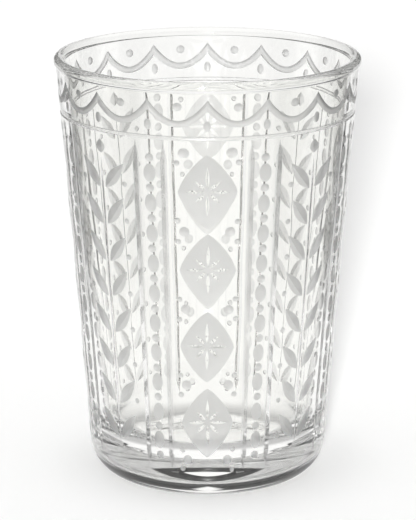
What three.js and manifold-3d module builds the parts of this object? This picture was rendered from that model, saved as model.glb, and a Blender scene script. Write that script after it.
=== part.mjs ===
// A hand-cut juice tumbler, blown and cut from one piece of clear crystal.
// Millimetres, +Z up, origin at the centre of the foot on the table.

import * as THREE from 'three';
import { mergeVertices } from 'three/addons/utils/BufferGeometryUtils.js';
import Module from 'manifold-3d';

// Driving dimensions of the blown glass.
const height = 100;
const rimDiameter = 71;
const footDiameter = 54.6; // where the straight outer wall would meet the table
const rimThickness = 2.5; // the round drinking edge
const rimStep = 0.4; // how far the drinking edge stands proud of the wall
const neckWall = 1.95; // wall just under the drinking edge
const footWall = 4.3; // wall at the level of the table
const floorThickness = 8;
const footCorner = 8.3; // radius of the round outer corner
const insideFillet = 12; // radius between floor and inner wall
const standingRing = 3.6; // flat ring that the glass stands on
const dishDepth = 3; // polished hollow inside that ring

// Driving dimensions of the cut pattern.
const sectorCount = 8; // panels round the glass, with a strip between each two
const patternFoot = 7.8; // lowest point of the upright cuts
const rimBand = 12.7; // from the top of the rim down to the ring cut
const ringWidth = 0.95;
const ringDepth = 0.25;
const mitreSpacing = 6.2; // between the two upright cuts of a strip, at mid height
const mitreWidth = 1.4;
const mitreDepth = 0.6;
const mitreTaper = 4; // length over which an upright cut runs out to a point
const mitreGap = 0.4; // from the ring cut down to the tip of an upright cut
const diamondSideGap = 2.1; // clear glass from a diamond to the nearest upright cut
const diamondHeight = 17;
const diamondDepth = 0.6;
const diamondGap = 1.3; // clear glass between two diamonds of a column

// How finely the round shapes are divided.
const turnSteps = 80;
const cornerSteps = 7;
const rimSteps = 16;
const filletSteps = 8;
const dishSteps = 8;
const diamondSideSteps = 4;

// Shares that keep a radius inside the wall it rounds, and a cutter clear of the surface.
const filletLimitShare = 0.9;
const cutterOverrunShare = 0.2;

const quarterTurn = Math.PI / 2;
const fullTurn = 2 * Math.PI;

// The two straight walls, each from its radius at the table to its radius at the rim.
const rimRadius = rimDiameter / 2;
const outer = straightWall(footDiameter / 2, rimRadius - rimStep);
const inner = straightWall(outer.footRadius - footWall, outer.rimRadius - neckWall);
const ringHeight = height - rimBand;

// The pattern is laid out on the wall at its middle height and narrows with it towards the foot.
const middleRadius = outer.radiusAt((patternFoot + ringHeight) / 2);
const sectorAngle = fullTurn / sectorCount;
const mitreAngle = mitreSpacing / 2 / middleRadius;
const panelHalfWidth = (sectorAngle / 2 - mitreAngle) * middleRadius - mitreWidth / 2;
const diamondHalfWidth = panelHalfWidth - diamondSideGap;

function straightWall(footRadius, topRadius) {
  const lean = Math.atan2(topRadius - footRadius, height);
  const radiusAt = (z) => footRadius + (topRadius - footRadius) * (z / height);
  return { footRadius, rimRadius: topRadius, lean, radiusAt };
}

// Distance from a wall to the centre of a circle that touches both it and a level plane.
function centreInset(wall, radius) {
  return (radius * (1 - Math.sin(wall.lean))) / Math.cos(wall.lean);
}

function arcPoints(centreX, centreZ, radius, fromAngle, toAngle, steps) {
  const points = [];
  for (let i = 0; i <= steps; i += 1) {
    const angle = fromAngle + ((toAngle - fromAngle) * i) / steps;
    points.push(new THREE.Vector2(centreX + radius * Math.cos(angle), centreZ + radius * Math.sin(angle)));
  }
  return points;
}

// The shallow polished hollow under the foot, from the axis out to the standing ring.
function dishPoints(dishRadius) {
  const sphereRadius = (dishRadius ** 2 + dishDepth ** 2) / (2 * dishDepth);
  const points = [];
  for (let i = 0; i <= dishSteps; i += 1) {
    const x = (dishRadius * i) / dishSteps;
    points.push(new THREE.Vector2(x, Math.sqrt(sphereRadius ** 2 - x ** 2) - sphereRadius + dishDepth));
  }
  return points;
}

function footPoints() {
  const corner = Math.min(footCorner, outer.footRadius * filletLimitShare);
  const centreX = outer.footRadius - centreInset(outer, corner);
  const ring = Math.min(standingRing, centreX * filletLimitShare);
  const cornerArc = arcPoints(centreX, corner, corner, -quarterTurn, -outer.lean, cornerSteps);
  return [...dishPoints(centreX - ring), ...cornerArc];
}

// The fine line cut round the glass under the rim band.
function ringCutPoints() {
  const low = ringHeight - ringWidth / 2;
  const high = ringHeight + ringWidth / 2;
  return [
    new THREE.Vector2(outer.radiusAt(low), low),
    new THREE.Vector2(outer.radiusAt(ringHeight) - ringDepth, ringHeight),
    new THREE.Vector2(outer.radiusAt(high), high),
  ];
}

// The drinking edge is a round bead that runs into both walls.
function rimPoints() {
  const bead = rimThickness / 2;
  const centreX = rimRadius - bead;
  const centreZ = height - bead;
  const meetAngle = (wall) => {
    const distance = Math.abs(wall.radiusAt(centreZ) - centreX) * Math.cos(wall.lean);
    return Math.acos(Math.min(1, distance / bead));
  };
  const fromAngle = -outer.lean - meetAngle(outer);
  const toAngle = 2 * quarterTurn - inner.lean + meetAngle(inner);
  return arcPoints(centreX, centreZ, bead, fromAngle, toAngle, rimSteps);
}

function insidePoints() {
  const floorRadius = inner.radiusAt(floorThickness);
  const fillet = Math.min(insideFillet, floorRadius * filletLimitShare);
  const centreX = floorRadius - centreInset(inner, fillet);
  const centreZ = floorThickness + fillet;
  const filletArc = arcPoints(centreX, centreZ, fillet, -inner.lean, -quarterTurn, filletSteps);
  return [...filletArc, new THREE.Vector2(0, floorThickness)];
}

function blankGeometry() {
  const profile = [...footPoints(), ...ringCutPoints(), ...rimPoints(), ...insidePoints()];
  const geometry = new THREE.LatheGeometry(profile, turnSteps);
  geometry.rotateX(quarterTurn);
  return geometry;
}

// A point on a vertical line at one turn angle, given by its distance from the axis.
function polarPoint(angle, radius, z) {
  return [radius * Math.sin(angle), -radius * Math.cos(angle), z];
}

function indexedGeometry(points, triangles) {
  const geometry = new THREE.BufferGeometry();
  geometry.setAttribute('position', new THREE.Float32BufferAttribute(points.flat(), 3));
  geometry.setIndex(triangles.flat());
  return geometry;
}

// Cutter of one upright mitre: a long wedge, its edge inwards, that runs out at both ends.
function mitreCutter(angle) {
  const clear = mitreDepth;
  const halfWidth = (mitreWidth / 2) * ((mitreDepth + clear) / mitreDepth);
  const runOut = mitreTaper * (clear / mitreDepth);
  const low = patternFoot;
  const high = ringHeight - ringWidth / 2 - mitreGap;
  const section = (z) => {
    const surface = outer.radiusAt(z);
    const spread = halfWidth / surface;
    return [
      polarPoint(angle, surface - mitreDepth, z),
      polarPoint(angle + spread, surface + clear, z),
      polarPoint(angle - spread, surface + clear, z),
    ];
  };
  const points = [
    polarPoint(angle, outer.radiusAt(low - runOut) + clear, low - runOut),
    ...section(low + mitreTaper),
    ...section(high - mitreTaper),
    polarPoint(angle, outer.radiusAt(high + runOut) + clear, high + runOut),
  ];
  const sides = 3;
  const lastPoint = points.length - 1;
  const triangles = [];
  for (let side = 0; side < sides; side += 1) {
    const here = 1 + side;
    const next = 1 + ((side + 1) % sides);
    triangles.push([0, next, here]);
    triangles.push([here, next, next + sides], [here, next + sides, here + sides]);
    triangles.push([lastPoint, here + sides, next + sides]);
  }
  return indexedGeometry(points, triangles);
}

// Cutter of one diamond: four sloping faces that meet deepest in the middle.
function diamondCutter(angle, centreZ) {
  const reach = 1 + cutterOverrunShare;
  const surface = outer.radiusAt(centreZ);
  const clear = diamondDepth + (2 * diamondHalfWidth) ** 2 / surface;
  const corners = [[1, 0], [0, 1], [-1, 0], [0, -1]];
  const rim = [];
  corners.forEach(([fromX, fromZ], i) => {
    const [toX, toZ] = corners[(i + 1) % corners.length];
    for (let step = 0; step < diamondSideSteps; step += 1) {
      const share = step / diamondSideSteps;
      const across = (fromX + (toX - fromX) * share) * reach * diamondHalfWidth;
      const z = centreZ + (fromZ + (toZ - fromZ) * share) * reach * (diamondHeight / 2);
      const lift = diamondDepth * cutterOverrunShare;
      rim.push(polarPoint(angle + across / middleRadius, outer.radiusAt(z) + lift, z));
    }
  });
  const points = [
    ...rim,
    polarPoint(angle, surface - diamondDepth, centreZ),
    polarPoint(angle, surface + clear, centreZ),
  ];
  const triangles = [];
  for (let i = 0; i < rim.length; i += 1) {
    const next = (i + 1) % rim.length;
    triangles.push([i, rim.length, next], [next, rim.length + 1, i]);
  }
  return indexedGeometry(points, triangles);
}

// Two upright cuts to each strip, halfway between the panels.
function stripCutters() {
  const cutters = [];
  for (let sector = 0; sector < sectorCount; sector += 1) {
    const angle = sectorAngle * (sector + 1 / 2);
    cutters.push(mitreCutter(angle - mitreAngle), mitreCutter(angle + mitreAngle));
  }
  return cutters;
}

// Every second panel carries a column of diamonds, centred between the cuts' feet and the ring.
function diamondCutters() {
  const pitch = diamondHeight + diamondGap;
  const room = ringHeight - patternFoot;
  const count = Math.max(1, Math.floor((room + diamondGap) / pitch));
  const lowest = patternFoot + room / 2 - (pitch * (count - 1)) / 2;
  const cutters = [];
  for (let sector = 0; sector < sectorCount; sector += 2) {
    for (let i = 0; i < count; i += 1) {
      cutters.push(diamondCutter(sectorAngle * sector, lowest + pitch * i));
    }
  }
  return cutters;
}

const wasm = await Module();
wasm.setup();

// A closed three.js geometry as a solid, with its shared points merged and slivers dropped.
function solidFrom(geometry) {
  const bare = geometry.clone();
  bare.deleteAttribute('normal');
  bare.deleteAttribute('uv');
  const merged = mergeVertices(bare);
  const corners = merged.index.array;
  const kept = [];
  for (let i = 0; i < corners.length; i += 3) {
    const [a, b, c] = corners.slice(i, i + 3);
    if (a !== b && b !== c && c !== a) {
      kept.push(a, b, c);
    }
  }
  const vertProperties = new Float32Array(merged.attributes.position.array);
  return new wasm.Manifold(new wasm.Mesh({ numProp: 3, vertProperties, triVerts: new Uint32Array(kept) }));
}

function geometryFrom(solid) {
  const mesh = solid.getMesh();
  const geometry = new THREE.BufferGeometry();
  geometry.setAttribute('position', new THREE.BufferAttribute(mesh.vertProperties, 3));
  geometry.setIndex(new THREE.BufferAttribute(mesh.triVerts, 1));
  return geometry;
}

function tumblerGeometry() {
  let solid = solidFrom(blankGeometry());
  for (const cutter of [...stripCutters(), ...diamondCutters()]) {
    solid = solid.subtract(solidFrom(cutter));
  }
  const geometry = geometryFrom(solid);
  geometry.computeVertexNormals();
  return geometry;
}

const clearGlass = new THREE.MeshStandardMaterial({
  color: 0xf6f8f7,
  roughness: 0.03,
  metalness: 0,
  transparent: true,
  opacity: 0.4,
  flatShading: true,
});

const tumbler = new THREE.Mesh(tumblerGeometry(), clearGlass);
tumbler.name = 'tumbler';

const group = new THREE.Group();
group.name = 'juice_glass';
group.add(tumbler);

export default group;
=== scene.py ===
import math
import random

import bpy
import numpy as np
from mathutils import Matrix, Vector
from mathutils.geometry import delaunay_2d_cdt
from mathutils.kdtree import KDTree


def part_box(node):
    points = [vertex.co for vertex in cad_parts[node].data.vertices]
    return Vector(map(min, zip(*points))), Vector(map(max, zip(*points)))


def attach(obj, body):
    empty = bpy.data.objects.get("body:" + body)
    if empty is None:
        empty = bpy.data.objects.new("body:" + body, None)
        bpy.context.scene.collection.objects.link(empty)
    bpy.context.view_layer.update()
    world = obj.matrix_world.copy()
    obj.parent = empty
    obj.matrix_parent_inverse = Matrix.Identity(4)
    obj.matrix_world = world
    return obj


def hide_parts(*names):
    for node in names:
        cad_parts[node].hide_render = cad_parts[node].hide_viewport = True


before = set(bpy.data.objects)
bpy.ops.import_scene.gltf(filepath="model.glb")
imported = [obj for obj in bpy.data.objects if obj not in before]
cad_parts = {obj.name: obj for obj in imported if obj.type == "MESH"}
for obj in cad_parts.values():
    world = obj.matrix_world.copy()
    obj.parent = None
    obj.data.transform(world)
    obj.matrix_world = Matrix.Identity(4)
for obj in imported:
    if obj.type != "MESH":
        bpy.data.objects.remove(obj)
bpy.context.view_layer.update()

# A juice tumbler of clear crystal. Its outside is cut by hand: upright mitres with a row of
# olives between them, columns of ground diamonds, leaf sprays, and swags under the rim.
# Metres, +Z up. Angles run from the front of the glass, at -Y, towards +X.

MM = 0.001

# Sizes of the blown glass, as in the CAD model.
glass_low, glass_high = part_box("tumbler")
HEIGHT = glass_high[2]
RIM_RADIUS = glass_high[0]
FOOT_RADIUS = 27.3 * MM
RIM_THICKNESS = 2.5 * MM
RIM_STEP = 0.4 * MM
NECK_WALL = 1.95 * MM
FOOT_WALL = 4.3 * MM
FLOOR_THICKNESS = 8 * MM
FOOT_CORNER = 8.3 * MM
INSIDE_FILLET = 12 * MM
STANDING_RING = 3.6 * MM
DISH_DEPTH = 3 * MM

# The fillets beside the drinking edge, which the CAD model leaves out.
RIM_FILLET = 0.7 * MM

# Sizes of the cut pattern.
SECTORS = 8
PATTERN_FOOT = 7.8 * MM
RIM_BAND = 12.7 * MM
RING_WIDTH = 0.95 * MM
RING_DEPTH = 0.25 * MM
MITRE_SPACING = 6.2 * MM
MITRE_WIDTH = 1.4 * MM
MITRE_DEPTH = 0.6 * MM
MITRE_TAPER = 4 * MM
MITRE_GAP = 0.4 * MM
MITRE_SLIP = 0.2 * MM
OLIVE_SIZE = (2.7 * MM, 4.3 * MM)
PEARL_SIZE = 1.9 * MM
STRIP_GAP = 0.45 * MM
DOT_DEPTH = 0.3 * MM
DIAMOND_SIZE = (12.5 * MM, 17 * MM)
DIAMOND_DEPTH = 0.55 * MM
DIAMOND_GAP = 1.3 * MM
DIAMOND_BOW = 1.3
DIAMOND_COUNT = 4
# Dots beside the gap between two diamonds: how far across and up, and how wide.
CORNER_DOTS = (
    (4.9 * MM, 0, 2.3 * MM),
    (6.3 * MM, 2.4 * MM, 1.3 * MM),
    (6.3 * MM, -2.4 * MM, 1.3 * MM),
)
RAY_COUNT = 8
RAY_LENGTH = 4.6 * MM
RAY_WIDTH = 0.75 * MM
RAY_SLOPE = 0.45
# The length of the level, slanting and upright rays.
RAY_SHARES = (1, 0.8, 1.25, 0.8)
LEAF_SIZE = (2.9 * MM, 8.2 * MM)
LEAF_SLOPE = 0.3
LEAF_BELLY = 0.85
LEAF_TILT = math.radians(38)
LEAF_PITCH = 8.6 * MM
LEAF_PAIRS = 8
# How far from the middle of the stem a leaf starts.
LEAF_OFFSET = 0.75 * MM
STEM_WIDTH = 0.55 * MM
STEM_SLOPE = 0.6
# The stem runs out over this part of its length at each end: one in twelve.
STEM_RUN_OUT = 12
# The spray: its foot over the pattern's, its first leaves over that, and its top under the next pair.
SPRAY_LIFT = 3.5 * MM
FIRST_LEAF = 2.5 * MM
SPRAY_TOP = 1.2 * MM
TIP_GAP = 0.6 * MM
TIP_MARGIN = 2 * MM
TIP_WIDTH_SHARE = 0.9
BERRY_SIZE = 1.3 * MM
BERRY_PLACE = (6.1 * MM, 1.6 * MM)
BERRY_DEPTH_SHARE = 0.7
SWAG_COUNT = 16
SWAG_TOP = 5.2 * MM
SWAG_SAG = 4.2 * MM
SWAG_WIDTH = 1.5 * MM
# How far the pearls and the drops hang under the cusps of the swags.
PEARL_FALL = 0.3 * MM
DROP_FALL = 4.6 * MM
DROP_SHARES = (0.8, 1.3)

# The unsteadiness of the cutter's hand: slips sideways, turns in radians, and shares of a size.
MITRE_SLIDE = 0.05 * MM
PEARL_SLIDE = 0.08 * MM
OLIVE_SLIDE = 0.1 * MM
OLIVE_TURN = 0.05
DIAMOND_SLIDE = 0.12 * MM
DIAMOND_TURN = 0.015
DIAMOND_SHARE = 0.015
RAY_TURN = 0.03
RAY_SHARE = 0.08
DOT_SLIDES = (0.12 * MM, 0.15 * MM)
DOT_SHARE = 0.06
LEAF_SLIDE = 0.2 * MM
LEAF_TURN = 0.06
LEAF_SHARE = 0.04
BERRY_SLIDE = 0.15 * MM
RIM_SLIDE = 0.1 * MM

# How finely the surface is divided.
TURN_STEPS = 360
CLEAR_STEP = 1.25 * MM
SPINE_STEP = 1.5 * MM
OUTLINE_STEP = 0.4 * MM
GROUND_STEP = 0.75 * MM
DISH_STEPS = 24
STANDING_RING_STEPS = 3
FOOT_CORNER_STEPS = 18
RING_LINE_POINTS = 9
OUTER_FILLET_STEPS = 8
BEAD_STEPS = 24
INNER_FILLET_STEPS = 6
WALL_STEPS = 44
INSIDE_FILLET_STEPS = 18
FLOOR_STEPS = 8
# The fewest points in a ring inside a round cut.
LEAST_AROUND = 6
# Points nearer than these shares of a step to a line, a side or a cusp are left out.
FILL_MARGIN_SHARE = 0.4
GRID_MARGIN_SHARE = 0.45
SIDE_MARGIN_SHARE = 1 / 3
CUSP_MARGIN_SHARE = 1 / 4
# The two rows of points inside a groove, between its middle and its edges.
GROOVE_SHARES = (-0.4, 0.4)
# Points that agree to this many digits are one, and so are flat ones that lie this near, in mm.
WELD_DIGITS = 7
CDT_NEAR = 1e-4
# Smaller triangles are dropped, and a radius smaller than this is on the axis.
LEAST_AREA = 1e-13
AXIS_NEAR = 1e-9
# A corner's normal is taken this far towards the middle of its face, to keep the edges sharp.
NUDGE_SHARE = 0.04
# The small steps over which slopes are measured: a length, and an angle or share.
HAIR = 0.002 * MM
HAIR_SHARE = 1e-4

# Where the stretches of the outer wall meet, in whole degrees.
PANEL_REACH = 14
RIM_SEAM = 6

# How uneven the blown inner wall is, and its waves: how often each goes round and up, and its start.
UNEVENNESS = 0.02 * MM
WAVES = ((3, 1.3, 0.4), (5, 2.1, 1.9), (8, 0.8, 4.0), (11, 3.2, 2.2))

# The finishes: their colours, and the ranges of their roughness.
CLEAR, GROUND, SATIN = 0, 1, 2
CRYSTAL_IOR = 1.52
CLEAR_COLOUR = (0.985, 0.985, 0.967)
CLEAR_ROUGHNESS = (0.0, 0.02)
GROUND_COLOUR = (0.8, 0.8, 0.79)
GROUND_ROUGHNESS = (0.5, 0.62)
SATIN_COLOUR = (0.94, 0.94, 0.93)
SATIN_ROUGHNESS = (0.12, 0.26)
# The marks on each finish: how wide, how high, how far drawn out upwards, and how detailed.
RIPPLE = (7 * MM, 0.02 * MM, 1.6, 1.0)
GRAIN = (0.12 * MM, 0.014 * MM, 1.0, 3.0)
HOLLOWS = (0.6 * MM, 0.022 * MM, 1.0, 2.0)
STREAKS = (0.15 * MM, 0.012 * MM, 14.0, 3.0)
# The rougher patches: how wide, how far drawn out upwards, and the span of noise from least to most.
CLEAR_PATCHES = (5 * MM, 1.0, (0.4, 0.7))
GROUND_PATCHES = (1.5 * MM, 1.0, (0.3, 0.7))
SATIN_PATCHES = (0.8 * MM, 6.0, (0.3, 0.7))
PATCH_DETAIL = 2.0

# The table, in metres. For the camera alone, its white is lifted a little.
FLOOR_SIZE = 6.0
FLOOR_GAP = 0.05 * MM
FLOOR_COLOUR = (0.95, 0.95, 0.945, 1)
FLOOR_LIFT = 0.1

# What the glass bends into view. It is a little over white, since the glass takes some away.
BENT_STRENGTH = 1.01
# The painted ring of shade on the table round the foot, which only bent rays see: where it starts, is
# full, thins out and ends.
PAINTED_CONTACT_SHADE = (20 * MM, 23 * MM, 26 * MM, 34 * MM)
PAINTED_SHADE_STRENGTH = 0.45
# The dim gaps to each side, and how far away they begin on the table. Each gap starts, is full,
# thins out and ends at these degrees from the back of the room.
GAPS = ((42, 48, 72, 78), (98, 104, 126, 132))
GAP_REACH = (0.12, 0.16)
GAP_STRENGTH = 0.02
# The heights, as sines, over which the pale backdrop gives way to a dim wall, and that to a ceiling.
WALL_START = (0.25, 0.35)
WALL_STRENGTH = 0.03
CEILING_START = (0.6, 0.7)
# How much lower the backdrop is to the sides.
BACKDROP_FALL = 1.5

# The light of the sky on everything else.
SKY_STRENGTH = 0.61
WHITE = (1, 1, 1, 1)

# Each lamp: its strength, how wide it looks, and the direction that its light comes from.
LOW_LAMP = (4.4, math.radians(3.5), (-0.077, -0.975, 0.206))
HIGH_LAMP = (0.25, math.radians(9), (-0.02, -0.04, 1.0))

# The camera, fitted to the rim, foot and sides in the photograph.
CAMERA_DISTANCE = 0.638
CAMERA_RISE = math.radians(15.39)
CAMERA_LEVEL = 0.0473
CAMERA_AIM = (0.0001, 0, 0.0507)
CAMERA_LENS = 187.8
CAMERA_CLIP = (0.01, 20)

# How often light may turn on its way through the glass, and off its faces.
GLASS_BOUNCES = 24
GLOSSY_BOUNCES = 20

rng = random.Random(7)


# The walls.

def wall(foot_radius, rim_radius):
    """A straight wall: its radius at any height, and how far it leans out."""
    lean = math.atan2(rim_radius - foot_radius, HEIGHT)
    return (lambda z: foot_radius + (rim_radius - foot_radius) * z / HEIGHT), lean


outer_radius, outer_lean = wall(FOOT_RADIUS, RIM_RADIUS - RIM_STEP)
inner_radius, inner_lean = wall(FOOT_RADIUS - FOOT_WALL, RIM_RADIUS - RIM_STEP - NECK_WALL)
RING_HEIGHT = HEIGHT - RIM_BAND
LAYOUT_RADIUS = outer_radius((PATTERN_FOOT + RING_HEIGHT) / 2)


def polar(angle, radius, z):
    """Points of the glass from their angle, distance from the axis and height."""
    axes = np.broadcast_arrays(radius * np.sin(angle), -radius * np.cos(angle), z)
    return np.stack(axes, axis=-1)


# Cuts. Each is laid out flat as x across and z up, and says how deep it goes at any point.

class Cut:
    """One cut: its edges and creases as lines, points inside it, its depth and its finish."""

    def __init__(self, lines, fill, depth, finish):
        self.lines = lines
        self.fill = fill
        self.depth = depth
        self.finish = finish


def steps_along(length, step):
    """How many steps of about that size a length is divided into."""
    return max(2, math.ceil(length / step))


def bowl(centre, size, depth, finish=GROUND, bow=2.0, tilt=0.0, step=OUTLINE_STEP):
    """A shallow round-bottomed cut. A bow of 2 is an ellipse, and nearer 1 is a diamond."""
    half_x, half_z = size[0] / 2, size[1] / 2
    count = 4 * steps_along(math.pi * (half_x + half_z) / 4, step)
    cos_tilt, sin_tilt = math.cos(tilt), math.sin(tilt)

    def place(share, angle):
        c, s = math.cos(angle), math.sin(angle)
        x = math.copysign(abs(c) ** (2 / bow), c) * half_x * share
        z = math.copysign(abs(s) ** (2 / bow), s) * half_z * share
        return (centre[0] + x * cos_tilt - z * sin_tilt, centre[1] + x * sin_tilt + z * cos_tilt)

    def depth_at(x, z):
        dx, dz = x - centre[0], z - centre[1]
        u = np.abs(dx * cos_tilt + dz * sin_tilt) / half_x
        v = np.abs(dz * cos_tilt - dx * sin_tilt) / half_z
        reach = (u ** bow + v ** bow) ** (1 / bow)
        return depth * np.clip(1 - reach ** 2, 0, None)

    outline = [place(1, 2 * math.pi * (i % count) / count) for i in range(count + 1)]
    rings = max(2, round(min(half_x, half_z) / step))
    fill = [centre]
    for ring in range(1, rings):
        share = ring / rings
        around = max(LEAST_AROUND, round(count * share))
        fill += [place(share, 2 * math.pi * (i + 0.5 * (ring % 2)) / around) for i in range(around)]
    return Cut([outline], fill, depth_at, finish)


def blade(start, end, half_width_at, slope, finish, step=OUTLINE_STEP, bends=()):
    """A mitre cut along a straight line, pointed at both ends, with two sloping sides.

    The bends are the shares of its length at which its edges bend."""
    dx, dz = end[0] - start[0], end[1] - start[1]
    length = math.hypot(dx, dz)
    along = (dx / length, dz / length)

    def place(share, side):
        offset = side * float(half_width_at(np.float64(share)))
        return (start[0] + dx * share - along[1] * offset, start[1] + dz * share + along[0] * offset)

    def depth_at(x, z):
        share = ((x - start[0]) * along[0] + (z - start[1]) * along[1]) / length
        aside = np.abs((z - start[1]) * along[0] - (x - start[0]) * along[1])
        inside = (share > 0) & (share < 1)
        width = half_width_at(np.clip(share, 0, 1))
        return np.where(inside, slope * np.clip(width - aside, 0, None), 0)

    count = steps_along(length, step)
    shares = sorted([i / count for i in range(1, count)] + list(bends))
    right = [place(share, -1) for share in shares]
    left = [place(share, 1) for share in reversed(shares)]
    spine = [start] + [place(share, 0) for share in shares] + [end]
    return Cut([[start] + right + [end] + left + [start], spine], [], depth_at, finish)


def mitre_profile(length):
    """Half width of an upright mitre: full, running out to a point at each end."""
    def half_width(share):
        from_end = np.minimum(share, 1 - share) * length
        return MITRE_WIDTH / 2 * np.clip(from_end / MITRE_TAPER, 0, 1)
    return half_width


def leaf_profile(width):
    """Half width of a leaf: widest a little below its middle."""
    def half_width(share):
        return width / 2 * np.sin(math.pi * share ** LEAF_BELLY)
    return half_width


def scallop(from_x, to_x, pitch, top, sag, width, depth, finish=GROUND):
    """A round-bottomed groove that runs right round the glass in hanging arcs."""
    def middle(x):
        """The height of the middle of the groove, and half of its width there, up and down."""
        share = np.mod(x / pitch, 1)
        slope = 4 * sag / pitch * (2 * share - 1)
        return top - sag * (1 - (2 * share - 1) ** 2), width / 2 * np.sqrt(1 + slope ** 2)

    def depth_at(x, z):
        centre, half = middle(x)
        return depth * np.clip(1 - ((z - centre) / half) ** 2, 0, None)

    cusps = pitch * np.arange(math.ceil(from_x / pitch), math.ceil(to_x / pitch))
    count = steps_along(to_x - from_x, OUTLINE_STEP)
    x = from_x + (to_x - from_x) * np.arange(count + 1) / count
    from_cusp = np.abs(x[:, None] - cusps).min(axis=1)
    x = np.sort(np.concatenate([x[from_cusp > OUTLINE_STEP * CUSP_MARGIN_SHARE], cusps]))
    centre, half = middle(x)
    lines = [list(zip(x.tolist(), (centre + half * side).tolist())) for side in (-1, 1)]
    rows = [zip(x.tolist(), (centre + half * side).tolist()) for side in GROOVE_SHARES]
    fill = [point for row in rows for point in list(row)[1:-1]]
    return Cut(lines, fill, depth_at, finish)


# Layout of the pattern.

def wobble(amount):
    """A small slip of the cutter's hand."""
    return rng.uniform(-amount, amount)


def strip_cuts():
    """Two upright mitres with olives and pearls between them."""
    low = PATTERN_FOOT
    high = RING_HEIGHT - RING_WIDTH / 2 - MITRE_GAP
    slope = MITRE_DEPTH / (MITRE_WIDTH / 2)
    profile = mitre_profile(high - low)
    bend = MITRE_TAPER / (high - low)
    cuts = []
    for side in (-1, 1):
        x = side * MITRE_SPACING / 2
        start = (x + wobble(MITRE_SLIDE), low + MITRE_SLIP + wobble(MITRE_SLIP))
        end = (x + wobble(MITRE_SLIDE), high)
        cuts.append(blade(start, end, profile, slope, SATIN, SPINE_STEP, (bend, 1 - bend)))
    pitch = OLIVE_SIZE[1] + PEARL_SIZE + 2 * STRIP_GAP
    room = high - low - MITRE_TAPER
    count = int((room - PEARL_SIZE) / pitch)
    bottom = (low + high) / 2 - count * pitch / 2
    for i in range(count + 1):
        centre = (wobble(PEARL_SLIDE), bottom + pitch * i + wobble(PEARL_SLIDE))
        cuts.append(bowl(centre, (PEARL_SIZE, PEARL_SIZE), DOT_DEPTH))
    for i in range(count):
        centre = (wobble(OLIVE_SLIDE), bottom + pitch * (i + 0.5) + wobble(OLIVE_SLIDE))
        cuts.append(bowl(centre, OLIVE_SIZE, DOT_DEPTH, tilt=wobble(OLIVE_TURN)))
    return cuts


def ray_star(centre):
    """Short mitres that spread from the middle of a diamond."""
    cuts = []
    for i in range(RAY_COUNT):
        angle = 2 * math.pi * i / RAY_COUNT + wobble(RAY_TURN)
        length = RAY_LENGTH * RAY_SHARES[i % len(RAY_SHARES)]
        near = (centre[0] + RAY_WIDTH * math.cos(angle), centre[1] + RAY_WIDTH * math.sin(angle))
        far = (centre[0] + length * math.cos(angle), centre[1] + length * math.sin(angle))
        width = RAY_WIDTH * (1 + wobble(RAY_SHARE))
        cuts.append(blade(near, far, leaf_profile(width), RAY_SLOPE, CLEAR))
    return cuts


def diamond_panel_cuts():
    """A column of ground diamonds, with dots in the corners between them."""
    pitch = DIAMOND_SIZE[1] + DIAMOND_GAP
    middle = (PATTERN_FOOT + RING_HEIGHT) / 2
    cuts = []
    for i in range(DIAMOND_COUNT):
        z = middle + pitch * (i - (DIAMOND_COUNT - 1) / 2)
        centre = (wobble(DIAMOND_SLIDE), z + wobble(DIAMOND_SLIDE))
        size = [length * (1 + wobble(DIAMOND_SHARE)) for length in DIAMOND_SIZE]
        tilt = wobble(DIAMOND_TURN)
        cuts.append(bowl(centre, size, DIAMOND_DEPTH, bow=DIAMOND_BOW, tilt=tilt, step=GROUND_STEP))
        cuts += ray_star(centre)
    for i in range(DIAMOND_COUNT + 1):
        z = middle + pitch * (i - DIAMOND_COUNT / 2)
        for side in (-1, 1):
            cuts += corner_dots(side, z)
    return cuts


def corner_dots(side, z):
    """The dots to one side of the gap between two diamonds, where they fit."""
    cuts = []
    for across, up, size in CORNER_DOTS:
        x = side * across + wobble(DOT_SLIDES[0])
        height = z + up + wobble(DOT_SLIDES[1])
        size *= 1 + wobble(DOT_SHARE)
        if PATTERN_FOOT < height - size / 2 and height + size / 2 < RING_HEIGHT - RING_WIDTH:
            cuts.append(bowl((x, height), (size, size), DOT_DEPTH))
    return cuts


def leaf_panel_cuts():
    """An upright spray: a stem, paired leaves, a leaf at the tip, and berries."""
    low = PATTERN_FOOT + SPRAY_LIFT
    first = low + FIRST_LEAF
    top = first + LEAF_PITCH * LEAF_PAIRS - SPRAY_TOP
    stem_half = STEM_WIDTH / 2

    def stem_profile(share):
        return stem_half * np.clip(np.minimum(share, 1 - share) * STEM_RUN_OUT, 0, 1)

    cuts = [blade((0, low), (0, top), stem_profile, STEM_SLOPE, SATIN, SPINE_STEP)]
    for i in range(LEAF_PAIRS):
        for side in (-1, 1):
            cuts += leaf_and_berry(side, first + LEAF_PITCH * i)
    tip = (0, top + TIP_GAP)
    tip_end = (wobble(LEAF_SLIDE), RING_HEIGHT - TIP_MARGIN)
    cuts.append(blade(tip, tip_end, leaf_profile(LEAF_SIZE[0] * TIP_WIDTH_SHARE), LEAF_SLOPE, GROUND))
    return cuts


def leaf_and_berry(side, foot):
    """A leaf that rises from the stem at this height, and the berry outside it."""
    tilt = LEAF_TILT + wobble(LEAF_TURN)
    start = (side * LEAF_OFFSET, foot + wobble(LEAF_SLIDE))
    length = LEAF_SIZE[1] * (1 + wobble(LEAF_SHARE))
    end = (start[0] + side * length * math.sin(tilt), start[1] + length * math.cos(tilt))
    across, up = BERRY_PLACE
    berry = (side * across + wobble(BERRY_SLIDE), foot + up + wobble(BERRY_SLIDE))
    return [
        blade(start, end, leaf_profile(LEAF_SIZE[0]), LEAF_SLOPE, GROUND),
        bowl(berry, (BERRY_SIZE, BERRY_SIZE), DOT_DEPTH * BERRY_DEPTH_SHARE),
    ]


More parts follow.
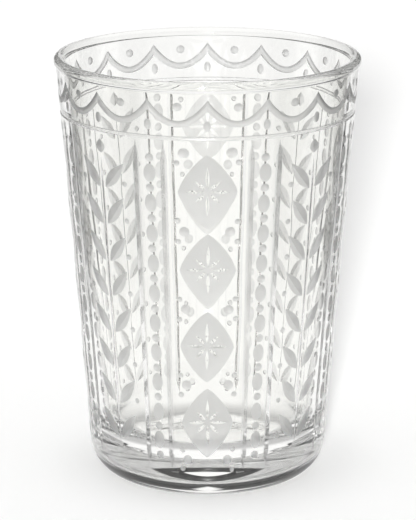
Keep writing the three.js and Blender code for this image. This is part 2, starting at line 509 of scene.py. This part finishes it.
def rim_cuts(from_x):
    """A scalloped band, a pearl hanging in each of its hollows and a drop under each cusp."""
    turn = 2 * math.pi * LAYOUT_RADIUS
    pitch = turn / SWAG_COUNT
    top = HEIGHT - SWAG_TOP
    cuts = [scallop(from_x, from_x + turn, pitch, top, SWAG_SAG, SWAG_WIDTH, DOT_DEPTH)]
    for i in range(1, SWAG_COUNT + 1):
        pearl = (pitch * (i - 0.5) + wobble(RIM_SLIDE), top - PEARL_FALL + wobble(RIM_SLIDE))
        drop = (pitch * i + wobble(RIM_SLIDE), top - DROP_FALL + wobble(RIM_SLIDE))
        cuts.append(bowl(pearl, (PEARL_SIZE, PEARL_SIZE), DOT_DEPTH))
        cuts.append(bowl(drop, [PEARL_SIZE * share for share in DROP_SHARES], DOT_DEPTH))
    return cuts


# The closed surface.

class Skin:
    """Collects faces, the normal at each of their corners, and the finish of each."""

    def __init__(self):
        self.points = []
        self.faces = []
        self.normals = []
        self.finishes = []
        self.count = 0

    def add(self, points, faces, normals, finishes):
        """points is (n, 3), faces (m, k) into it, normals (m, k, 3) and finishes (m)."""
        self.points.append(points)
        self.faces += (faces + self.count).tolist()
        self.normals.append(normals.reshape(-1, 3))
        self.finishes.append(finishes)
        self.count += len(points)

    def mesh(self, name):
        """One mesh of all that was added, welded, with its normals and finishes."""
        # The added zero turns -0.0 into 0.0, so that the two weld.
        points = np.round(np.concatenate(self.points), WELD_DIGITS) + 0.0
        welded, where = np.unique(points, axis=0, return_inverse=True)
        where = where.reshape(-1)
        faces, normals, finishes = [], [], []
        corner_normals = np.concatenate(self.normals)
        face_finishes = np.concatenate(self.finishes)
        corner = 0
        for face, finish in zip(self.faces, face_finishes):
            kept = []
            for i, point in enumerate(face):
                welded_point = int(where[point])
                if welded_point not in [k for k, _ in kept]:
                    kept.append((welded_point, corner + i))
            corner += len(face)
            if len(kept) > 2:
                faces.append([point for point, _ in kept])
                normals += [corner_normals[i] for _, i in kept]
                finishes.append(int(finish))
        mesh = bpy.data.meshes.new(name)
        mesh.from_pydata(welded.tolist(), [], faces, shade_flat=False)
        mesh.polygons.foreach_set("material_index", finishes)
        mesh.normals_split_custom_set(normals)
        mesh.update()
        return mesh


def total_depth(cuts, x, z):
    return sum((cut.depth(x, z) for cut in cuts), np.zeros_like(x))


def cut_normals(cuts, centre, x, z):
    """Outward normals of the cut wall, from its slope a hair to each side."""
    def place(px, pz):
        return polar(centre + px / LAYOUT_RADIUS, outer_radius(pz) - total_depth(cuts, px, pz), pz)

    across = place(x + HAIR, z) - place(x - HAIR, z)
    up = place(x, z + HAIR) - place(x, z - HAIR)
    normals = np.cross(across, up)
    return normals / np.linalg.norm(normals, axis=-1, keepdims=True)


def clear_of(points, taken, margin):
    """The points that lie further than the margin from every taken one."""
    tree = KDTree(len(taken))
    for i, (x, z) in enumerate(taken):
        tree.insert((x, z, 0), i)
    tree.balance()
    return [(x, z) for x, z in points if tree.find((x, z, 0))[2] > margin]


def grid_points(left, right, low, high, cuts):
    """Evenly spread points over the uncut glass, in staggered rows."""
    rows = round((high - low) / (CLEAR_STEP * math.sqrt(3) / 2))
    columns = round((right - left) / CLEAR_STEP)
    row, column = np.meshgrid(np.arange(1, rows), np.arange(columns), indexing="ij")
    x = left + (right - left) * (column + 0.5 + 0.25 * (-1.0) ** row) / columns
    z = low + (high - low) * row / rows
    free = total_depth(cuts, x, z) == 0
    return list(zip(x[free].tolist(), z[free].tolist()))


def wall_rows(low, high):
    """Evenly spread heights, from the low one to the high one."""
    count = round((high - low) / CLEAR_STEP)
    return [low + (high - low) * i / count for i in range(count)] + [high]


def closed_border(columns, low, high, side_heights):
    """The edge of a stretch of wall, with the same points that its neighbours have."""
    rows = wall_rows(low, high)[1:-1]
    margin = CLEAR_STEP * SIDE_MARGIN_SHARE
    rows = [z for z in rows if all(abs(z - side) > margin for side in side_heights)]
    rows = sorted(rows + list(side_heights))
    border = [(x, low) for x in columns]
    border += [(columns[-1], z) for z in rows]
    border += [(x, high) for x in reversed(columns)]
    border += [(columns[0], z) for z in reversed(rows)]
    return border + border[:1]


def flat_triangles(lines, fill):
    """Triangles between the points, in which every line is an edge, all wound the same way."""
    points, edges = [], []
    for line in lines:
        first = len(points)
        points += line
        edges += [(first + i, first + i + 1) for i in range(len(line) - 1)]
    points += fill
    flat = [Vector(point) / MM for point in points]
    found, _, faces, origins, _, _ = delaunay_2d_cdt(flat, edges, [], 0, CDT_NEAR, True)
    # A point that was added where two lines cross has no origin.
    places = [points[origin[0]] if origin else (point[0] * MM, point[1] * MM)
              for point, origin in zip(found, origins)]
    places, faces = np.array(places), np.array(faces)
    corners = places[faces]
    area = np.cross(corners[:, 1] - corners[:, 0], corners[:, 2] - corners[:, 0])
    faces[area < 0] = faces[area < 0][:, ::-1]
    return places, faces[np.abs(area) > LEAST_AREA]


def carve(skin, centre, degrees, low, high, cuts, side_heights=()):
    """Adds one stretch of the outer wall, between two whole degrees, with its cuts."""
    first, last = degrees
    columns = [math.radians(degree - centre) * LAYOUT_RADIUS for degree in range(first, last + 1)]
    lines = [closed_border(columns, low, high, side_heights)]
    lines += [line for cut in cuts for line in cut.lines]
    taken = [point for line in lines for point in line]
    inside = [point for cut in cuts for point in cut.fill]
    fill = clear_of(inside, taken, OUTLINE_STEP * FILL_MARGIN_SHARE)
    grid = grid_points(columns[0], columns[-1], low, high, cuts)
    fill += clear_of(grid, taken, CLEAR_STEP * GRID_MARGIN_SHARE)
    places, faces = flat_triangles(lines, fill)
    corners = places[faces]
    middles = corners.mean(axis=1)
    finishes = np.full(len(faces), CLEAR)
    for cut in cuts:
        finishes[cut.depth(middles[:, 0], middles[:, 1]) > 0] = cut.finish
    start = math.radians(centre)
    inward = corners + (middles[:, None, :] - corners) * NUDGE_SHARE
    normals = cut_normals(cuts, start, inward[..., 0], inward[..., 1])
    x, z = places[:, 0], places[:, 1]
    surface = polar(start + x / LAYOUT_RADIUS, outer_radius(z) - total_depth(cuts, x, z), z)
    skin.add(surface, faces, normals, finishes)


def turned_faces(rows):
    """Four-sided faces between rings of points that go round the axis."""
    turn = np.arange(TURN_STEPS)
    after = (turn + 1) % TURN_STEPS
    faces = []
    for row in range(rows):
        a, b = row * TURN_STEPS, (row + 1) * TURN_STEPS
        faces.append(np.stack([turn + a, after + a, after + b, turn + b], axis=-1))
    return np.concatenate(faces)


def sweep(skin, radii, heights, radius_slopes, height_slopes, finish=CLEAR):
    """Turns one smooth run of the profile round the axis. The slopes are its outward normals."""
    angles = np.radians(np.arange(TURN_STEPS))
    rings = [polar(angles, r, np.full(TURN_STEPS, z)) for r, z in zip(radii, heights)]
    slopes = zip(radius_slopes, height_slopes)
    outward = [polar(angles, out, np.full(TURN_STEPS, up)) for out, up in slopes]
    facing = np.concatenate(outward)
    faces = turned_faces(len(radii) - 1)
    skin.add(np.concatenate(rings), faces, facing[faces], np.full(len(faces), finish))


def sweep_arc(skin, centre, radius, from_angle, to_angle, steps, hollow=False):
    """A round run of the profile. A hollow one faces its own centre."""
    angles = np.linspace(from_angle, to_angle, steps + 1)
    facing = -1 if hollow else 1
    radii = centre[0] + radius * np.cos(angles)
    heights = centre[1] + radius * np.sin(angles)
    radii[np.abs(radii) < AXIS_NEAR] = 0
    sweep(skin, radii, heights, facing * np.cos(angles), facing * np.sin(angles))


def sweep_line(skin, start, end, steps):
    """A straight run of the profile, with the glass on its left hand."""
    shares = np.linspace(0, 1, steps + 1)
    dx, dz = end[0] - start[0], end[1] - start[1]
    length = math.hypot(dx, dz)
    ones = np.ones(steps + 1)
    radii = start[0] + dx * shares
    sweep(skin, radii, start[1] + dz * shares, ones * dz / length, -ones * dx / length)


def centre_inset(lean, radius):
    """How far a fillet's centre lies inside the point where its wall meets its floor."""
    return radius * (1 - math.sin(lean)) / math.cos(lean)


def add_foot(skin):
    """The polished hollow, the standing ring and the round corner, up to the straight wall."""
    centre_x = FOOT_RADIUS - centre_inset(outer_lean, FOOT_CORNER)
    dish_radius = centre_x - STANDING_RING
    sphere = (dish_radius ** 2 + DISH_DEPTH ** 2) / (2 * DISH_DEPTH)
    dish_centre = (0, DISH_DEPTH - sphere)
    edge_angle = math.acos(dish_radius / sphere)
    sweep_arc(skin, dish_centre, sphere, math.pi / 2, edge_angle, DISH_STEPS, hollow=True)
    sweep_line(skin, (dish_radius, 0), (centre_x, 0), STANDING_RING_STEPS)
    corner_centre = (centre_x, FOOT_CORNER)
    sweep_arc(skin, corner_centre, FOOT_CORNER, -math.pi / 2, -outer_lean, FOOT_CORNER_STEPS)
    return FOOT_CORNER - FOOT_CORNER * math.sin(outer_lean)


def add_ring_cut(skin):
    """The fine round-bottomed line under the rim band."""
    half = RING_WIDTH / 2
    radius = (half ** 2 + RING_DEPTH ** 2) / (2 * RING_DEPTH)
    reach = math.asin(half / radius)
    centre = (outer_radius(RING_HEIGHT) - RING_DEPTH + radius, RING_HEIGHT)
    low, high = (RING_HEIGHT - half, RING_HEIGHT + half)
    angles = np.linspace(math.pi + reach, math.pi - reach, RING_LINE_POINTS)
    radii = centre[0] + radius * np.cos(angles)
    heights = centre[1] + radius * np.sin(angles)
    radii[0], heights[0] = outer_radius(low), low
    radii[-1], heights[-1] = outer_radius(high), high
    sweep(skin, radii, heights, -np.cos(angles), -np.sin(angles), SATIN)
    return low, high


def rim_fillet(radius_at, facing):
    """The small fillet between a wall and the drinking edge: its centre, and its turn.

    Facing is the direction in which the wall faces, as an angle of the profile."""
    bead = RIM_THICKNESS / 2
    centre = np.array([RIM_RADIUS - bead, HEIGHT - bead])
    outward = np.array([math.cos(facing), math.sin(facing)])
    down = np.array([-abs(outward[1]), -abs(outward[0])])
    depth = abs(radius_at(centre[1]) - centre[0]) * abs(outward[0])
    turn = math.acos((depth + RIM_FILLET) / (bead + RIM_FILLET))
    drop = (bead + RIM_FILLET) * math.sin(turn)
    return centre + outward * (depth + RIM_FILLET) + down * drop, turn


def add_rim(skin, outer_fillet, inner_fillet):
    """The round drinking edge, with a fillet under each side. Ends where the inner wall starts."""
    bead = RIM_THICKNESS / 2
    centre = (RIM_RADIUS - bead, HEIGHT - bead)
    (outside, outer_turn), (inside, inner_turn) = outer_fillet, inner_fillet
    wall_side = math.pi - outer_lean
    bead_side = wall_side - outer_turn
    sweep_arc(skin, outside, RIM_FILLET, wall_side, bead_side, OUTER_FILLET_STEPS, hollow=True)
    start = -outer_lean - outer_turn
    end = math.pi - inner_lean + inner_turn
    sweep_arc(skin, centre, bead, start, end, BEAD_STEPS)
    bead_side = end - math.pi
    sweep_arc(skin, inside, RIM_FILLET, bead_side, -inner_lean, INNER_FILLET_STEPS, hollow=True)
    wall_start = inside[0] + RIM_FILLET * math.cos(inner_lean)
    return wall_start, inside[1] - RIM_FILLET * math.sin(inner_lean)


def uneven(angle, share):
    """The slow unevenness of a blown wall, which fades out at both its ends."""
    total = sum(np.sin(turns * angle + 2 * math.pi * rises * share + phase) / math.sqrt(turns)
                for turns, rises, phase in WAVES)
    return UNEVENNESS * total * np.sin(math.pi * share)


def add_inner_wall(skin, start, end):
    """The inner wall from the rim down to the fillet. It is a little uneven, as blown."""
    def place(angle, share):
        radius = start[0] + (end[0] - start[0]) * share + uneven(angle, share)
        return polar(angle, radius, start[1] + (end[1] - start[1]) * share)

    shares = np.arange(WALL_STEPS + 1) / WALL_STEPS
    angle, share = np.meshgrid(np.radians(np.arange(TURN_STEPS)), shares)
    across = place(angle + HAIR_SHARE, share) - place(angle - HAIR_SHARE, share)
    down = place(angle, share + HAIR_SHARE) - place(angle, share - HAIR_SHARE)
    normals = np.cross(across, down)
    normals /= np.linalg.norm(normals, axis=-1, keepdims=True)
    faces = turned_faces(WALL_STEPS)
    points = place(angle, share).reshape(-1, 3)
    skin.add(points, faces, normals.reshape(-1, 3)[faces], np.full(len(faces), CLEAR))


def add_inside(skin, start):
    """The inner wall, its fillet and the floor."""
    radius = INSIDE_FILLET
    x = inner_radius(FLOOR_THICKNESS) - centre_inset(inner_lean, radius)
    z = FLOOR_THICKNESS + radius
    end = (x + radius * math.cos(inner_lean), z - radius * math.sin(inner_lean))
    add_inner_wall(skin, start, end)
    sweep_arc(skin, (x, z), radius, -inner_lean, -math.pi / 2, INSIDE_FILLET_STEPS, hollow=True)
    sweep_line(skin, (x, FLOOR_THICKNESS), (0, FLOOR_THICKNESS), FLOOR_STEPS)


def build_tumbler():
    """The whole surface, from the foot up the outside, over the rim and down the inside."""
    skin = Skin()
    wall_low = add_foot(skin)
    ring_low, ring_high = add_ring_cut(skin)
    sector = 360 // SECTORS
    for i in range(SECTORS):
        panel, strip = sector * i, sector * (i + 0.5)
        edges = (panel - PANEL_REACH, panel + PANEL_REACH, panel + sector - PANEL_REACH)
        panel_cuts = diamond_panel_cuts() if i % 2 == 0 else leaf_panel_cuts()
        carve(skin, panel, edges[:2], wall_low, ring_low, panel_cuts)
        carve(skin, strip, edges[1:], wall_low, ring_low, strip_cuts())
    outside = rim_fillet(outer_radius, -outer_lean)
    inside = rim_fillet(inner_radius, math.pi - inner_lean)
    seam = math.radians(RIM_SEAM) * LAYOUT_RADIUS
    band_top = outside[0][1] + RIM_FILLET * math.sin(outer_lean)
    cuts = rim_cuts(seam)
    crossings = [line[0][1] for line in cuts[0].lines]
    carve(skin, 0, (RIM_SEAM, RIM_SEAM + 360), ring_high, band_top, cuts, crossings)
    add_inside(skin, add_rim(skin, outside, inside))
    return skin.mesh("tumbler_glass")


# Materials.

def add_node(tree, kind, values=(), **settings):
    """Adds a node. The values go to its inputs, as numbers or as links from other nodes."""
    node = tree.nodes.new("ShaderNode" + kind)
    for name, value in settings.items():
        setattr(node, name, value)
    for name, value in dict(values).items():
        if isinstance(value, bpy.types.NodeSocket):
            tree.links.new(value, node.inputs[name])
        else:
            node.inputs[name].default_value = value
    return node


def calc(tree, operation, *values):
    return add_node(tree, "Math", enumerate(values), operation=operation).outputs[0]


def ramp(tree, value, from_low, from_high, to_low=0.0, to_high=1.0):
    """A soft step or a range, from one value to another."""
    spans = {"From Min": from_low, "From Max": from_high, "To Min": to_low, "To Max": to_high}
    values = {"Value": value, **spans}
    return add_node(tree, "MapRange", values, interpolation_type="SMOOTHSTEP").outputs[0]


def blend(tree, share, low, high):
    """From the low value to the high one, as the share goes from 0 to 1."""
    return add_node(tree, "Mix", {0: share, 2: low, 3: high}).outputs[0]


def noise(tree, grain, stretch, detail):
    """Noise of that grain size on the glass, drawn out upwards by the stretch."""
    place = add_node(tree, "TexCoord").outputs["Object"]
    shrink = {0: place, 1: (1, 1, 1 / stretch)}
    shrunk = add_node(tree, "VectorMath", shrink, operation="MULTIPLY").outputs[0]
    values = {"Vector": shrunk, "Scale": 1 / grain, "Detail": detail}
    return add_node(tree, "TexNoise", values).outputs["Fac"]


def marks(tree, grain, height, stretch, detail, under=None):
    """Marks on the glass of that size and height, on top of any others."""
    values = {"Height": noise(tree, grain, stretch, detail), "Distance": height, "Strength": 1.0}
    if under:
        values["Normal"] = under
    return add_node(tree, "Bump", values).outputs[0]


def glass_material(name, colour, patches, roughness):
    """A clear material that is rougher in some patches than in others."""
    material = bpy.data.materials.new(name)
    material.use_nodes = True
    tree = material.node_tree
    shader = tree.nodes["Principled BSDF"]
    shader.inputs["Base Color"].default_value = (*colour, 1)
    shader.inputs["IOR"].default_value = CRYSTAL_IOR
    shader.inputs["Transmission Weight"].default_value = 1.0
    grain, stretch, span = patches
    rough = ramp(tree, noise(tree, grain, stretch, PATCH_DETAIL), *span, *roughness)
    tree.links.new(rough, shader.inputs["Roughness"])
    return material, tree, shader.inputs["Normal"]


def clear_crystal():
    """Polished crystal, with the faintest ripple of a surface that was blown."""
    looks = (CLEAR_COLOUR, CLEAR_PATCHES, CLEAR_ROUGHNESS)
    material, tree, normal = glass_material("clear_crystal", *looks)
    tree.links.new(marks(tree, *RIPPLE), normal)
    return material


def ground_crystal():
    """Fine-ground crystal: a pale, even grey with a grain that only shows close up."""
    looks = (GROUND_COLOUR, GROUND_PATCHES, GROUND_ROUGHNESS)
    material, tree, normal = glass_material("ground_crystal", *looks)
    hollows = marks(tree, *HOLLOWS)
    tree.links.new(marks(tree, *GRAIN, under=hollows), normal)
    return material


def satin_crystal():
    """The faces of the upright mitres: half polished, with the streaks of the wheel."""
    looks = (SATIN_COLOUR, SATIN_PATCHES, SATIN_ROUGHNESS)
    material, tree, normal = glass_material("satin_crystal", *looks)
    tree.links.new(marks(tree, *STREAKS), normal)
    return material


# What surrounds the glass. Clear glass shows only what it bends into view. Rays that it sends
# out see a pale table with dim gaps to each side, a pale backdrop that is lower to the sides,
# dim walls above it and a bright ceiling. The camera sees white, and all else has plain light.

def gapped(tree, x, y):
    """A strength of 1, lower in the dim gaps to both sides of the glass."""
    around = calc(tree, "ARCTAN2", calc(tree, "ABSOLUTE", x), y)
    inside = 0.0
    for degrees in GAPS:
        start, full, thinning, end = (math.radians(degree) for degree in degrees)
        inside = calc(tree, "ADD", inside, band(tree, around, start, full, thinning, end))
    return blend(tree, inside, 1.0, GAP_STRENGTH)


def band(tree, value, start, full, thinning, end):
    """1 between two values and 0 outside them, with a soft step at each."""
    return calc(tree, "SUBTRACT", ramp(tree, value, start, full), ramp(tree, value, thinning, end))


def bent_ray(tree):
    """1 for a ray that the glass reflects or lets through, and 1 for one from the camera."""
    path = add_node(tree, "LightPath")
    either = calc(tree, "ADD", path.outputs["Is Glossy Ray"], path.outputs["Is Transmission Ray"])
    return calc(tree, "MINIMUM", either, 1.0), path.outputs["Is Camera Ray"]


def empty_tree(owner):
    """The nodes of a material or world, with none in it yet."""
    owner.use_nodes = True
    owner.node_tree.nodes.clear()
    return owner.node_tree


def table_material():
    """Plain pale white that takes the shadow. Bent rays see its gaps and a painted ring of shade as
    well.
    """
    material = bpy.data.materials.new("floor")
    tree = empty_tree(material)
    place = add_node(tree, "NewGeometry").outputs["Position"]
    axes = add_node(tree, "SeparateXYZ", {0: place}).outputs
    away = add_node(tree, "VectorMath", {0: place}, operation="LENGTH").outputs["Value"]
    gaps = blend(tree, ramp(tree, away, *GAP_REACH), 1.0, gapped(tree, axes[0], axes[1]))
    # Painted shade: a ring round the foot that darkens the table as the glass shows it.
    painted_shade = calc(tree, "MULTIPLY", band(tree, away, *PAINTED_CONTACT_SHADE), PAINTED_SHADE_STRENGTH)
    strength = calc(tree, "MULTIPLY", gaps, calc(tree, "SUBTRACT", 1.0, painted_shade))
    strength = calc(tree, "MULTIPLY", strength, BENT_STRENGTH)
    plain = add_node(tree, "BsdfDiffuse", {"Color": FLOOR_COLOUR}).outputs[0]
    bent, camera = bent_ray(tree)
    lift = calc(tree, "MULTIPLY", camera, FLOOR_LIFT)
    lifted = add_node(tree, "Emission", {"Strength": lift}).outputs[0]
    plain = add_node(tree, "AddShader", {0: plain, 1: lifted}).outputs[0]
    seen = add_node(tree, "Emission", {"Strength": strength}).outputs[0]
    mix = add_node(tree, "MixShader", {0: bent, 1: plain, 2: seen}).outputs[0]
    add_node(tree, "OutputMaterial", {"Surface": mix})
    return material


def add_floor():
    """A plain pale table top."""
    half = FLOOR_SIZE / 2
    mesh = bpy.data.meshes.new("floor")
    corners = [(-half, -half), (half, -half), (half, half), (-half, half)]
    mesh.from_pydata([(x, y, -FLOOR_GAP) for x, y in corners], [], [(0, 1, 2, 3)])
    mesh.materials.append(table_material())
    floor = bpy.data.objects.new("floor", mesh)
    bpy.context.scene.collection.objects.link(floor)


def background(tree, strength):
    """White light of that strength from all round."""
    return add_node(tree, "Background", {"Color": WHITE, "Strength": strength}).outputs[0]


def room_strength(tree):
    """How bright the room that the glass bends into view is, in each direction."""
    axes = add_node(tree, "SeparateXYZ", {0: add_node(tree, "TexCoord").outputs["Generated"]}).outputs
    level = gapped(tree, axes[0], axes[1])
    fall = calc(tree, "MULTIPLY", calc(tree, "ABSOLUTE", axes[0]), BACKDROP_FALL)
    wall_share = ramp(tree, calc(tree, "ADD", axes[2], fall), *WALL_START)
    low = blend(tree, wall_share, level, WALL_STRENGTH)
    strength = blend(tree, ramp(tree, axes[2], *CEILING_START), low, 1.0)
    return calc(tree, "MULTIPLY", strength, BENT_STRENGTH)


def add_surroundings():
    """What the glass bends into view, white for the camera, and plain light for the rest."""
    world = bpy.data.worlds.new("surroundings")
    bpy.context.scene.world = world
    tree = empty_tree(world)
    bent, camera = bent_ray(tree)
    plain = background(tree, SKY_STRENGTH)
    seen = background(tree, room_strength(tree))
    white = background(tree, 1.0)
    mix = add_node(tree, "MixShader", {0: bent, 1: plain, 2: seen}).outputs[0]
    mix = add_node(tree, "MixShader", {0: camera, 1: mix, 2: white}).outputs[0]
    add_node(tree, "OutputWorld", {"Surface": mix})


def aim(thing, place, target):
    thing.location = place
    thing.rotation_euler = (Vector(target) - Vector(place)).to_track_quat("-Z", "Y").to_euler()


def add_lamp(name, strength, width, direction, sheen):
    """A distant lamp. With sheen, the faces of the glass reflect it as well."""
    data = bpy.data.lights.new(name, "SUN")
    data.energy = strength
    data.angle = width
    lamp = bpy.data.objects.new(name, data)
    lamp.visible_glossy = sheen
    lamp.visible_transmission = False
    bpy.context.scene.collection.objects.link(lamp)
    aim(lamp, direction, (0, 0, 0))


def add_camera():
    data = bpy.data.cameras.new("camera")
    data.lens = CAMERA_LENS
    data.clip_start, data.clip_end = CAMERA_CLIP
    camera = bpy.data.objects.new("camera", data)
    bpy.context.scene.collection.objects.link(camera)
    bpy.context.scene.camera = camera
    height = CAMERA_LEVEL + CAMERA_DISTANCE * math.sin(CAMERA_RISE)
    aim(camera, (0, -CAMERA_DISTANCE * math.cos(CAMERA_RISE), height), CAMERA_AIM)


def add_tumbler():
    tumbler = bpy.data.objects.new("cut_tumbler", build_tumbler())
    for material in (clear_crystal(), ground_crystal(), satin_crystal()):
        tumbler.data.materials.append(material)
    bpy.context.scene.collection.objects.link(tumbler)
    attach(tumbler, "root")
    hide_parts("tumbler")


def set_view():
    """Colours as they are written, and enough bounces for light to leave the thick foot."""
    scene = bpy.context.scene
    scene.view_settings.view_transform = "Standard"
    scene.cycles.max_bounces = GLASS_BOUNCES
    scene.cycles.glossy_bounces = GLOSSY_BOUNCES
    scene.cycles.transmission_bounces = GLASS_BOUNCES


add_tumbler()
add_floor()
add_surroundings()
add_lamp("low_lamp", *LOW_LAMP, sheen=True)
add_lamp("high_lamp", *HIGH_LAMP, sheen=False)
add_camera()
set_view()
